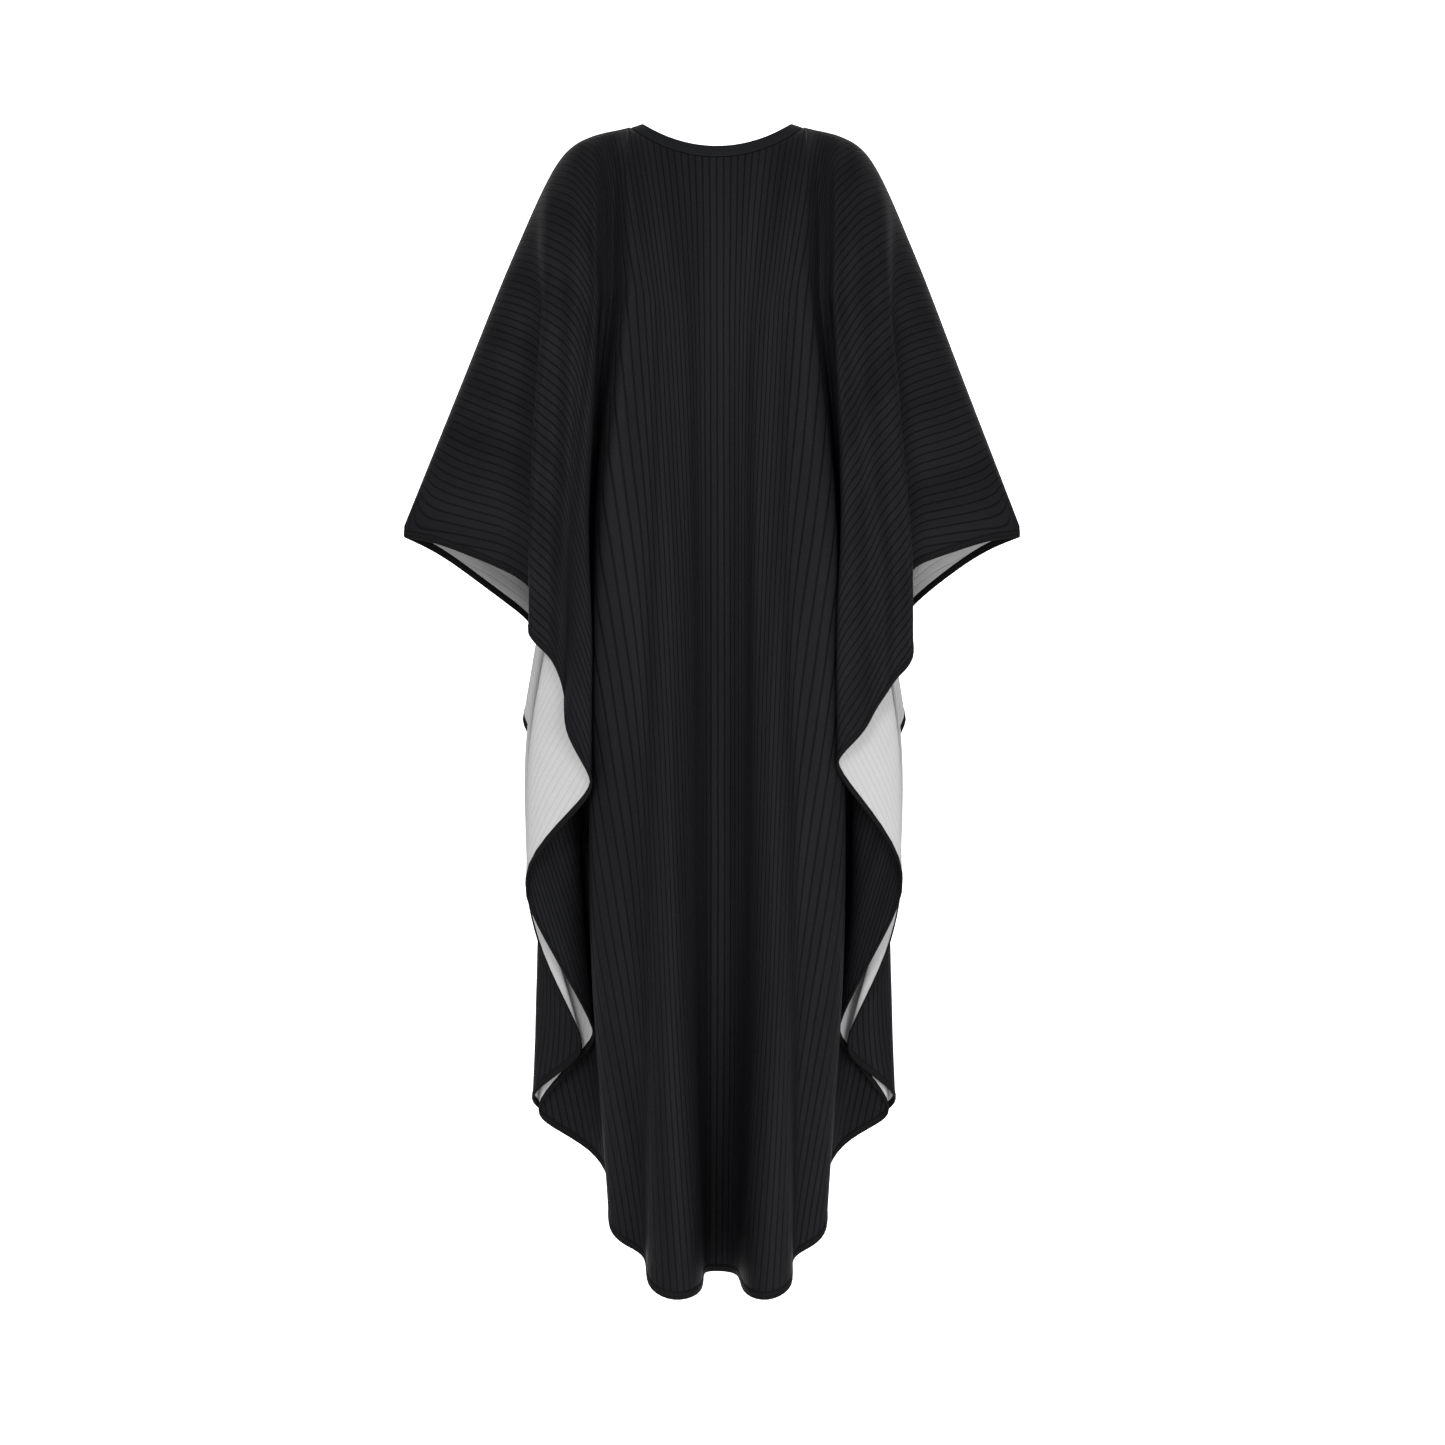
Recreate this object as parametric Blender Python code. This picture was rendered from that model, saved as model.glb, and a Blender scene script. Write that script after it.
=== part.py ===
"""A wide kaftan, filled out as it hangs from the shoulders and two lowered arms.

The frame is in metres with Z up. The origin is between the two neck points, where the shoulders
hold the garment. The back of the garment faces -Y and the front faces +Y.
Each panel is a wall that hangs from its top edge. A panel's table has one row for each hanging
line, from the centre to the sleeve tip, with its place at four levels. A cubic spline through the
rows gives the lines between them, so that two rows close together in X make a rounded fold.
"""

import math

import bpy
import numpy as np

MM = 0.001

# Cloth and seams
WALL = 2.0 * MM
SEAM_GAP = 0.3 * MM
BAND_WIDTH = 16.0 * MM
HEM_WIDTH = 6.0 * MM
HEM_WALL = 1.0 * MM

# Neck opening: an ellipse that dips at the centre of each panel
NECK_HALF_WIDTH = 86.0 * MM
BAND_HALF_WIDTH = 101.0 * MM
BAND_SHOULDER_DROP = 5.0 * MM
NECK_CURVE = 1.6
NECK = {
    "back": {
        "side": -1.0,
        "depth": 75.0 * MM,
        "drop": 45.0 * MM,
        "band_depth": 81.0 * MM,
        "band_drop": 54.5 * MM,
    },
    "front": {
        "side": 1.0,
        "depth": 78.0 * MM,
        "drop": 98.0 * MM,
        "band_depth": 85.0 * MM,
        "band_drop": 107.5 * MM,
    },
}

# Shoulder and arm line, from the neckband to the sleeve tip: distance out and height, mm
ARM_LINE = [
    (101.0, -5.0),
    (124.0, -9.0),
    (149.0, -16.0),
    (167.0, -26.0),
    (181.0, -41.0),
    (193.0, -62.0),
    (208.0, -91.0),
    (224.0, -128.0),
    (247.0, -180.0),
    (283.0, -272.0),
    (321.0, -365.0),
    (361.0, -463.0),
]
# The right side's reach beyond the neckband, as a share of the left one's
RIGHT_REACH = 0.955

# Levels of a hanging line, mm below its top edge, or this share of its length if that is less
LEVELS = {"yoke": (200.0, 0.3), "chest": (480.0, 0.6), "hip": (900.0, 0.8)}

# One row for each hanging line, mm. "top" is the distance along the top edge from the centre.
# x is the distance out from the centre, y the depth, and "right" what the right side adds to x and z.
# x_right is added by these shares, level by level.
RIGHT_SHARES = {"yoke": 0.2, "chest": 0.6, "hip": 1.0, "end": 1.0}
FOLD_COLUMNS = (
    "top",
    "x_yoke",
    "y_yoke",
    "x_chest",
    "y_chest",
    "x_hip",
    "y_hip",
    "x_end",
    "y_end",
    "z_end",
    "x_right",
    "z_right",
)
BACK_FOLDS = {
    "centre_hollow": (0, 0, -104, 0, -99, 1, -84, 4, -24, -1316, 0, 0),
    "hollow_side": (20, 18, -105, 17, -102, 17, -92, 19, -34, -1315, 10, 0),
    "column_inner": (40, 34, -110, 31, -118, 29, -126, 12, -132, -1311, 13, 0),
    "column_crown": (64, 49, -113, 46, -128, 47, -145, 46, -158, -1316, 8, 0),
    "column_outer": (88, 62, -111, 62, -124, 67, -140, 80, -138, -1303, 8, 0),
    "side_hollow": (112, 75, -107, 82, -109, 86, -108, 73, -92, -1281, 3, -2),
    "side_crest": (138, 90, -114, 112, -124, 120, -112, 106, -96, -1268, 4, -2),
    "tube_edge": (152, 100, -107, 132, -106, 146, -92, 124, -88, -1250, 4, 0),
    "tube_side": (160, 107, -96, 137, -84, 136, -56, 116, -46, -1214, 1, 2),
    "seam": (165, 112, -88, 139, -62, 142, -3, 140, -2, -1182, 2, 8),
    "wing_1_out": (168, 115, -85, 150, -55, 189, -2, 206, -2, -1150, -3, 2),
    "wing_1_turn": (171, 118, -85, 153, -62, 193, -12, 209, -12, -1130, -3, 0),
    "wing_1_in": (174, 120, -86, 146, -69, 154, -18, 141, -19, -1060, 1, 2),
    "wing_2_turn": (177, 122, -87, 146, -76, 152, -48, 133, -52, -1040, 0, 5),
    "wing_2_out": (180, 124, -89, 166, -80, 210, -58, 200, -57, -926, -1, 4),
    "wing_2_over": (183, 126, -90, 169, -91, 214, -71, 230, -71, -858, -1, 4),
    "wing_3_in": (186, 128, -92, 146, -98, 140, -105, 140, -102, -776, -3, 23),
    "wing_3_turn": (189, 130, -94, 138, -112, 134, -121, 133, -122, -753, -4, 22),
    "fold_3": (195, 134, -99, 148, -120, 158, -116, 169, -115, -702, -4, 0),
    "hollow_3": (206, 142, -89, 158, -104, 165, -101, 166, -99, -669, 10, -10),
    "fold_2": (219, 156, -94, 163, -112, 170, -110, 174, -108, -634, 15, -26),
    "hollow_2": (243, 171, -80, 180, -95, 185, -92, 186, -92, -614, 17, -25),
    "fold_1": (268, 190, -78, 202, -106, 206, -106, 208, -106, -597, 15, -27),
    "fold_1_back": (288, 197, -66, 206, -90, 209, -90, 210, -88, -580, 13, -16),
    "sleeve_inner": (304, 196, -58, 192, -70, 190, -68, 190, -66, -560, 10, 0),
    "sleeve_body": (338, 210, -50, 211, -60, 214, -60, 216, -58, -530, 7, 14),
    "sleeve_upper": (406, 242, -44, 242, -52, 242, -54, 242, -52, -516, 0, 9),
    "sleeve_middle": (505, 282, -34, 282, -40, 282, -41, 282, -40, -499, -1, 5),
    "sleeve_lower": (604, 322, -20, 322, -24, 322, -25, 322, -24, -483, 0, 3),
    "sleeve_tip": (704, 361, -5, 361, -7, 361, -9, 361, -9, -475, 0, 0),
}
FRONT_FOLDS = {
    "centre_hollow": (0, 0, 108, 0, 106, 0, 96, 0, 74, -1288, 0, 0),
    "hollow_side": (26, 22, 109, 24, 110, 24, 108, 22, 96, -1289, 4, 0),
    "column_crown": (60, 48, 114, 50, 124, 54, 140, 54, 146, -1292, 4, 0),
    "column_outer": (90, 66, 110, 74, 116, 82, 124, 84, 116, -1284, 2, 0),
    "side_crest": (138, 90, 114, 112, 122, 118, 120, 108, 102, -1264, 4, 0),
    "tube_edge": (152, 100, 106, 135, 114, 140, 100, 126, 86, -1240, 5, 0),
    "tube_side": (160, 107, 94, 138, 88, 142, 54, 130, 46, -1206, 3, 0),
    "seam": (165, 112, 84, 141, 64, 146, 5, 140, 5, -1176, 2, 0),
    "wrap_1_out": (170, 117, 80, 152, 60, 197, 9, 212, 10, -1137, -2, 0),
    "wrap_1_turn": (174, 121, 79, 160, 60, 204, -12, 217, -25, -1114, -2, 0),
    "tongue_in": (178, 125, 79, 166, 61, 205, -23, 155, -29, -1074, -3, 0),
    "tongue_turn": (182, 129, 80, 173, 62, 204, -32, 149, -38, -1052, -3, 0),
    "tongue_out": (186, 133, 81, 180, 63, 210, -38, 202, -42, -958, -1, 0),
    "wrap_2_out": (190, 137, 82, 186, 65, 219, -33, 218, -37, -876, -2, 0),
    "wrap_2_turn": (194, 141, 83, 191, 68, 216, 16, 219, 6, -852, -2, 0),
    "far_in": (199, 146, 84, 195, 71, 186, 46, 172, 40, -800, -2, 0),
    "far_in_turn": (204, 151, 85, 197, 75, 184, 56, 170, 50, -784, -2, 0),
    "far_tip": (210, 157, 85, 201, 78, 209, 64, 229, 60, -700, -1, 0),
    "far_tip_turn": (216, 162, 85, 203, 83, 211, 74, 235, 72, -676, -1, 0),
    "far_back": (222, 167, 84, 201, 89, 196, 87, 195, 85, -656, 0, 0),
    "fold_2": (232, 172, 88, 201, 94, 194, 98, 191, 98, -640, 6, 0),
    "hollow_2": (250, 179, 80, 203, 98, 200, 103, 197, 103, -626, 8, 0),
    "fold_1": (270, 192, 76, 207, 104, 210, 107, 210, 107, -612, 11, 2),
    "sleeve_inner": (300, 198, 58, 208, 84, 210, 88, 211, 88, -594, 9, 6),
    "sleeve_body": (338, 211, 50, 216, 64, 219, 70, 221, 72, -570, 7, 9),
    "sleeve_upper": (406, 242, 44, 243, 54, 244, 56, 245, 56, -551, 2, 9),
    "sleeve_middle": (505, 282, 34, 283, 42, 284, 44, 285, 44, -521, 0, 8),
    "sleeve_lower": (604, 322, 20, 323, 26, 324, 28, 325, 28, -491, 0, 4),
    "sleeve_tip": (735, 361, 5, 361, 7, 361, 9, 361, 9, -475, 0, 0),
}

# Mesh steps
TURN_STEP = 0.01
STEPS_PER_FOLD = 2
ROUND_ROWS = 4
HANG_ROWS = 9

OUTER_COLOUR = (0.011, 0.011, 0.012, 1.0)
ROUGHNESS = 0.62


def column(name):
    return FOLD_COLUMNS.index(name)


def spline(values, places):
    """Cubic B-spline through rows of values, read at places counted in rows."""
    padded = np.vstack([2 * values[0] - values[1], values, 2 * values[-1] - values[-2]])
    first = np.clip(np.floor(places).astype(int), 0, len(values) - 2)
    t = (places - first)[:, None]
    weights = (
        (1 - t) ** 3 / 6,
        (3 * t**3 - 6 * t**2 + 4) / 6,
        (-3 * t**3 + 3 * t**2 + 3 * t + 1) / 6,
        t**3 / 6,
    )
    return sum(weight * padded[first + step] for step, weight in enumerate(weights))


def ring_point(panel, turn, share):
    """A point of the neckband: turn is 0 at the centre and pi/2 at the right shoulder."""
    neck = NECK[panel]
    half = NECK_HALF_WIDTH + (BAND_HALF_WIDTH - NECK_HALF_WIDTH) * share
    depth = neck["depth"] + (neck["band_depth"] - neck["depth"]) * share
    drop = neck["drop"] + (neck["band_drop"] - neck["drop"]) * share
    return np.stack([
        half * np.sin(turn),
        neck["side"] * depth * np.cos(turn),
        -BAND_SHOULDER_DROP * share - drop * np.maximum(np.cos(turn), 0.0) ** NECK_CURVE,
    ], axis=-1)


def arc_table(points):
    steps = np.linalg.norm(np.diff(points, axis=0), axis=1)
    return np.concatenate([[0.0], np.cumsum(steps)])


def top_edge(panel, distance):
    """The top edge on the +X side, at a distance from the centre: the neckband, then the arm line."""
    turns = np.linspace(0, math.pi / 2, 91)
    neck = ring_point(panel, turns, 1.0)
    neck_arc = arc_table(neck)
    arm = np.array([(x * MM, 0.0, z * MM) for x, z in ARM_LINE])
    places = np.linspace(0, len(arm) - 1, 141)
    arm = spline(arm, places)
    arm_arc = arc_table(arm)
    corner = neck_arc[-1]
    on_neck = np.stack([np.interp(distance, neck_arc, line) for line in neck.T], axis=-1)
    on_arm = np.stack([np.interp(distance - corner, arm_arc, line) for line in arm.T], axis=-1)
    turn = np.interp(distance, neck_arc, turns)
    return np.where((distance < corner)[:, None], on_neck, on_arm), turn, corner


def fold_values(panel, folds, steps):
    """The table's values at every mesh column, from the left sleeve tip to the right one."""
    table = np.array(list(folds.values()), float)
    right = table.copy()
    for level, share in RIGHT_SHARES.items():
        beyond = np.maximum(table[:, column(f"x_{level}")] - BAND_HALF_WIDTH / MM, 0.0)
        right[:, column(f"x_{level}")] += share * table[:, column("x_right")] - beyond * (1 - RIGHT_REACH)
    right[:, column("z_end")] += table[:, column("z_right")]
    signed = []
    for rows, sign in ((table[::-1], -1.0), (right[1:], 1.0)):
        rows = rows.copy()
        for name in ("top", *(f"x_{level}" for level in RIGHT_SHARES)):
            rows[:, column(name)] *= sign
        signed.append(rows)
    rows = np.vstack(signed)
    places = np.linspace(0, len(rows) - 1, (len(rows) - 1) * steps + 1)
    values = spline(rows, places)
    values[:, : column("x_right")] *= MM
    _, _, corner = top_edge(panel, np.array([0.0]))
    for sign in (-1.0, 1.0):
        nearest = np.argmin(abs(values[:, 0] - sign * corner))
        values[nearest, 0] = sign * corner
    return values


def between(levels, heights, z):
    """Smooth curve through values given at four falling heights, for every column at once."""
    slopes = []
    for i in range(4):
        low, high = max(i - 1, 0), min(i + 1, 3)
        slopes.append((levels[high] - levels[low]) / (heights[high] - heights[low]))
    result = np.where(z > heights[0], levels[0] + slopes[0] * (z - heights[0]), levels[3])
    for i in range(3):
        span = heights[i + 1] - heights[i]
        t = (z - heights[i]) / span
        value = (
            (2 * t**3 - 3 * t**2 + 1) * levels[i]
            + (t**3 - 2 * t**2 + t) * span * slopes[i]
            + (3 * t**2 - 2 * t**3) * levels[i + 1]
            + (t**3 - t**2) * span * slopes[i + 1]
        )
        result = np.where((z <= heights[i]) & (z >= heights[i + 1]), value, result)
    return result


def panel_surface(panel, folds, steps, round_rows, hang_rows):
    """The panel's middle surface, as rows down from its top edge by columns across it.

    Also gives each column's turn round the neckband, and whether it hangs from the arm line."""
    values = fold_values(panel, folds, steps)
    sign = np.where(values[:, 0] < 0, -1.0, 1.0)
    top, turn, corner = top_edge(panel, abs(values[:, 0]))
    turn *= sign
    top[:, 0] *= sign
    on_arm = abs(values[:, 0]) >= corner - 1e-9
    shortened = on_arm & (sign > 0)
    top[shortened, 0] = BAND_HALF_WIDTH + (top[shortened, 0] - BAND_HALF_WIDTH) * RIGHT_REACH
    top[:, 1] += np.where(on_arm, NECK[panel]["side"] * SEAM_GAP / 2, 0.0)
    end_z = values[:, column("z_end")]
    length = top[:, 2] - end_z
    heights = [top[:, 2] - np.minimum(drop * MM, share * length) for drop, share in LEVELS.values()]
    heights.append(end_z)
    yoke = heights[0]
    xs = [values[:, column(f"x_{level}")] for level in RIGHT_SHARES]
    ys = [values[:, column(f"y_{level}")] for level in RIGHT_SHARES]
    # The cloth leaves the arm line level and the neckband at its own slope.
    power = 0.5 + 0.5 * np.cos(turn)
    rounding = 1 - np.cos(np.linspace(0, math.pi / 2, round_rows + 1))
    hanging = np.linspace(0, 1, hang_rows + 1)[1:-1]
    hem_share = HEM_WIDTH / (yoke - end_z)
    surface = []
    for share in rounding:
        drop = share * (top[:, 2] - yoke)
        z = top[:, 2] - drop
        x = top[:, 0] + (xs[0] - top[:, 0]) * share
        rise = (1 - (1 - share) ** 2) ** power
        y = top[:, 1] + (ys[0] - top[:, 1]) * rise
        surface.append(np.stack([x, y, z], axis=-1))
    hem_top = 1 - hem_share
    for share in [*(hanging * hem_top[:, None]).T, hem_top, np.ones(len(end_z))]:
        z = yoke + (end_z - yoke) * share
        surface.append(np.stack([between(xs, heights, z), between(ys, heights, z), z], axis=-1))
    return np.array(surface), turn, on_arm


def upward(normals):
    """Unit directions, each turned to point up."""
    return normals * np.sign(normals[..., 2:]) / np.linalg.norm(normals, axis=-1, keepdims=True)


def ring_normal(panel, turn):
    """The neckband's outward direction where a panel joins it."""
    along = ring_point(panel, turn + TURN_STEP, 1.0) - ring_point(panel, turn - TURN_STEP, 1.0)
    across = ring_point(panel, turn, 1.0) - ring_point(panel, turn, 0.0)
    return upward(np.cross(along, across))


def surface_normals(surface, panel, turn, on_arm):
    """Outward unit directions, square to the seam along the arm line and matched to the neckband."""
    across = np.gradient(surface, axis=1)
    down = np.gradient(surface, axis=0)
    normals = np.cross(across, down) * NECK[panel]["side"]
    normals /= np.linalg.norm(normals, axis=2)[:, :, None]
    corners = on_arm & ~(np.roll(on_arm, 1) & np.roll(on_arm, -1))
    corners[[0, -1]] = False
    seam = np.where(corners[:, None], ring_normal(panel, turn), normals[0]) * (1.0, 0.0, 1.0)
    seam /= np.linalg.norm(seam, axis=1)[:, None]
    normals[0] = np.where(on_arm[:, None], seam, ring_normal(panel, turn))
    return normals


def closed_strip(outer, inner):
    """Vertices and faces of the solid between two grids of one size, split along the same diagonals."""
    rows, columns = outer.shape[:2]
    points = np.concatenate([outer.reshape(-1, 3), inner.reshape(-1, 3)])
    inside = rows * columns
    middle = (outer + inner) / 2
    falling = np.linalg.norm(middle[1:, 1:] - middle[:-1, :-1], axis=2)
    rising = np.linalg.norm(middle[1:, :-1] - middle[:-1, 1:], axis=2)

    def at(row, col, layer):
        return layer * inside + row * columns + col

    faces = []
    for row in range(rows - 1):
        for col in range(columns - 1):
            corners = [(row, col), (row + 1, col), (row + 1, col + 1), (row, col + 1)]
            if rising[row, col] < falling[row, col]:
                corners = corners[1:] + corners[:1]
            a, b, c, d = corners
            for triangle in ((a, b, c), (a, c, d)):
                faces.append(tuple(at(*corner, 0) for corner in triangle))
                faces.append(tuple(at(*corner, 1) for corner in triangle[::-1]))
    for col in range(columns - 1):
        faces.append((at(0, col, 0), at(0, col + 1, 0), at(0, col + 1, 1), at(0, col, 1)))
        last = rows - 1
        faces.append((at(last, col, 0), at(last, col, 1), at(last, col + 1, 1), at(last, col + 1, 0)))
    for row in range(rows - 1):
        faces.append((at(row, 0, 0), at(row, 0, 1), at(row + 1, 0, 1), at(row + 1, 0, 0)))
        last = columns - 1
        faces.append((at(row, last, 0), at(row + 1, last, 0), at(row + 1, last, 1), at(row, last, 1)))
    return points, faces


def add_solid(name, points, faces, material):
    mesh = bpy.data.meshes.new(name)
    mesh.from_pydata([tuple(point) for point in points], [], faces)
    mesh.validate()
    solid = bpy.data.objects.new(name, mesh)
    bpy.context.collection.objects.link(solid)
    mesh.materials.append(material)
    mesh.shade_smooth()
    return solid


def cloth_material(name):
    material = bpy.data.materials.new(name)
    material.use_nodes = True
    shader = material.node_tree.nodes["Principled BSDF"]
    shader.inputs["Base Color"].default_value = OUTER_COLOUR
    shader.inputs["Roughness"].default_value = ROUGHNESS
    shader.inputs["Metallic"].default_value = 0.0
    return material


def facing_out(panel, faces):
    """The front panel runs the other way round, so its faces are turned over."""
    return [face[::-1] for face in faces] if NECK[panel]["side"] > 0 else faces


def build_panel(panel, folds):
    """Makes a panel and its hem, and gives the turns at which its columns meet the neckband."""
    surface, turn, on_arm = panel_surface(panel, folds, STEPS_PER_FOLD, ROUND_ROWS, HANG_ROWS)
    normals = surface_normals(surface, panel, turn, on_arm)
    points, faces = closed_strip(surface + normals * WALL / 2, surface - normals * WALL / 2)
    faces = facing_out(panel, faces)
    add_solid(f"{panel}_panel", points, faces, cloth_material(f"{panel}_cloth"))
    build_hem(panel, surface, normals)
    return turn[~on_arm]


def build_hem(panel, surface, normals):
    """The turned edge, on the inner face of its panel."""
    edge, above = surface[-1], surface[-2]
    rise = above - edge
    length = np.linalg.norm(rise, axis=1)[:, None]
    share = HEM_WIDTH / length
    upper = edge + rise * share
    upper_normals = normals[-1] + (normals[-2] - normals[-1]) * share
    upper_normals /= np.linalg.norm(upper_normals, axis=1)[:, None]
    middle = np.array([upper, edge])
    out = np.array([upper_normals, normals[-1]])
    near = WALL / 2 + SEAM_GAP
    points, faces = closed_strip(middle - out * near, middle - out * (near + HEM_WALL))
    faces = facing_out(panel, faces)
    add_solid(f"{panel}_hem", points, faces, cloth_material(f"{panel}_hem_cloth"))


def build_neckband(back_turns, front_turns):
    """One ring, from the neck edge to the panels, with a step at each of their columns."""
    shoulder = math.pi / 2
    turns = {"back": np.append(back_turns, shoulder), "front": np.append(front_turns[::-1], -shoulder)}
    rings = []
    for share in (0.0, 1.0 - SEAM_GAP / BAND_WIDTH):
        rings.append(np.vstack([ring_point(panel, turn, share) for panel, turn in turns.items()]))
    normals = np.vstack([ring_normal(panel, turn) for panel, turn in turns.items()])
    for last in (len(back_turns), -1):
        normals[last, 1] = 0.0
        normals[last] /= np.linalg.norm(normals[last])
    out = normals * WALL / 2
    loops = [rings[0] + out, rings[1] + out, rings[1] - out, rings[0] - out]
    count = len(normals)
    faces = []
    for loop in range(4):
        after = (loop + 1) % 4
        for i in range(count):
            j = (i + 1) % count
            faces.append((loop * count + i, after * count + i, after * count + j, loop * count + j))
    add_solid("neckband", np.concatenate(loops), faces, cloth_material("neckband_cloth"))


def main():
    for old in list(bpy.data.objects):
        bpy.data.objects.remove(old)
    back_turns = build_panel("back", BACK_FOLDS)
    front_turns = build_panel("front", FRONT_FOLDS)
    build_neckband(back_turns, front_turns)


main()
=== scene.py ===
"""The looks of the kaftan: fine cloth shells in the form of the solids, with hems, neckband and stitches.

The hanging lines follow those of the solids, read at finer steps. Smaller creases are set on top.
Every length is in metres unless a name or comment says mm. The back of the garment faces -Y, to the camera.
"""

import math

import bpy
import numpy as np
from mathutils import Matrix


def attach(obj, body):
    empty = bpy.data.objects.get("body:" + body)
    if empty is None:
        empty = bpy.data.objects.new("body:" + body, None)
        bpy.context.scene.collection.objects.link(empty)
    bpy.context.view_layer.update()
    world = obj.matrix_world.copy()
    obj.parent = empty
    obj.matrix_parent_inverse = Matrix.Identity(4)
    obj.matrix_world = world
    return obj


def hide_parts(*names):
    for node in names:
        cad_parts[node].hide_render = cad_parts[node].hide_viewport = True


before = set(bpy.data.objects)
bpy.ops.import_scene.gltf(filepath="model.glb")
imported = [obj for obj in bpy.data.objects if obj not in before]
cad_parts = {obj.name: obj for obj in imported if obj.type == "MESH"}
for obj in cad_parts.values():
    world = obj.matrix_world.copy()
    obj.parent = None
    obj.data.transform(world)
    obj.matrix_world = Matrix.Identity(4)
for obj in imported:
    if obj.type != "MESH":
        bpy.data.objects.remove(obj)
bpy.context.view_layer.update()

MM = 0.001

# Cloth and seams
WALL = 2.0 * MM
SEAM_GAP = 0.3 * MM
HEM_WIDTH = 6.0 * MM

# Neck opening: an ellipse that dips at the centre of each panel
NECK_HALF_WIDTH = 86.0 * MM
BAND_HALF_WIDTH = 101.0 * MM
BAND_SHOULDER_DROP = 5.0 * MM
NECK_CURVE = 1.6
NECK = {
    "back": {
        "side": -1.0,
        "depth": 75.0 * MM,
        "drop": 45.0 * MM,
        "band_depth": 81.0 * MM,
        "band_drop": 54.5 * MM,
    },
    "front": {
        "side": 1.0,
        "depth": 78.0 * MM,
        "drop": 98.0 * MM,
        "band_depth": 85.0 * MM,
        "band_drop": 107.5 * MM,
    },
}

# Shoulder and arm line, from the neckband to the sleeve tip: distance out and height, mm
ARM_LINE = [
    (101.0, -5.0),
    (124.0, -9.0),
    (149.0, -16.0),
    (167.0, -26.0),
    (181.0, -41.0),
    (193.0, -62.0),
    (208.0, -91.0),
    (224.0, -128.0),
    (247.0, -180.0),
    (283.0, -272.0),
    (321.0, -365.0),
    (361.0, -463.0),
]
# The right side's reach beyond the neckband, as a share of the left one's
RIGHT_REACH = 0.955

# Levels of a hanging line, mm below its top edge, or this share of its length if that is less
LEVELS = {"yoke": (200.0, 0.3), "chest": (480.0, 0.6), "hip": (900.0, 0.8)}

# One row for each hanging line, mm. "top" is the distance along the top edge from the centre.
# x is the distance out from the centre, y the depth, and "right" what the right side adds to x and z.
# x_right is added by these shares, level by level.
RIGHT_SHARES = {"yoke": 0.2, "chest": 0.6, "hip": 1.0, "end": 1.0}
FOLD_COLUMNS = (
    "top",
    "x_yoke",
    "y_yoke",
    "x_chest",
    "y_chest",
    "x_hip",
    "y_hip",
    "x_end",
    "y_end",
    "z_end",
    "x_right",
    "z_right",
)
BACK_FOLDS = {
    "centre_hollow": (0, 0, -104, 0, -99, 1, -84, 4, -24, -1316, 0, 0),
    "hollow_side": (20, 18, -105, 17, -102, 17, -92, 19, -34, -1315, 10, 0),
    "column_inner": (40, 34, -110, 31, -118, 29, -126, 12, -132, -1311, 13, 0),
    "column_crown": (64, 49, -113, 46, -128, 47, -145, 46, -158, -1316, 8, 0),
    "column_outer": (88, 62, -111, 62, -124, 67, -140, 80, -138, -1303, 8, 0),
    "side_hollow": (112, 75, -107, 82, -109, 86, -108, 73, -92, -1281, 3, -2),
    "side_crest": (138, 90, -114, 112, -124, 120, -112, 106, -96, -1268, 4, -2),
    "tube_edge": (152, 100, -107, 132, -106, 146, -92, 124, -88, -1250, 4, 0),
    "tube_side": (160, 107, -96, 137, -84, 136, -56, 116, -46, -1214, 1, 2),
    "seam": (165, 112, -88, 139, -62, 142, -3, 140, -2, -1182, 2, 8),
    "wing_1_out": (168, 115, -85, 150, -55, 189, -2, 206, -2, -1150, -3, 2),
    "wing_1_turn": (171, 118, -85, 153, -62, 193, -12, 209, -12, -1130, -3, 0),
    "wing_1_in": (174, 120, -86, 146, -69, 154, -18, 141, -19, -1060, 1, 2),
    "wing_2_turn": (177, 122, -87, 146, -76, 152, -48, 133, -52, -1040, 0, 5),
    "wing_2_out": (180, 124, -89, 166, -80, 210, -58, 200, -57, -926, -1, 4),
    "wing_2_over": (183, 126, -90, 169, -91, 214, -71, 230, -71, -858, -1, 4),
    "wing_3_in": (186, 128, -92, 146, -98, 140, -105, 140, -102, -776, -3, 23),
    "wing_3_turn": (189, 130, -94, 138, -112, 134, -121, 133, -122, -753, -4, 22),
    "fold_3": (195, 134, -99, 148, -120, 158, -116, 169, -115, -702, -4, 0),
    "hollow_3": (206, 142, -89, 158, -104, 165, -101, 166, -99, -669, 10, -10),
    "fold_2": (219, 156, -94, 163, -112, 170, -110, 174, -108, -634, 15, -26),
    "hollow_2": (243, 171, -80, 180, -95, 185, -92, 186, -92, -614, 17, -25),
    "fold_1": (268, 190, -78, 202, -106, 206, -106, 208, -106, -597, 15, -27),
    "fold_1_back": (288, 197, -66, 206, -90, 209, -90, 210, -88, -580, 13, -16),
    "sleeve_inner": (304, 196, -58, 192, -70, 190, -68, 190, -66, -560, 10, 0),
    "sleeve_body": (338, 210, -50, 211, -60, 214, -60, 216, -58, -530, 7, 14),
    "sleeve_upper": (406, 242, -44, 242, -52, 242, -54, 242, -52, -516, 0, 9),
    "sleeve_middle": (505, 282, -34, 282, -40, 282, -41, 282, -40, -499, -1, 5),
    "sleeve_lower": (604, 322, -20, 322, -24, 322, -25, 322, -24, -483, 0, 3),
    "sleeve_tip": (704, 361, -2, 361, -2.5, 361, -3, 361, -3, -475, 0, 0),
}
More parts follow.
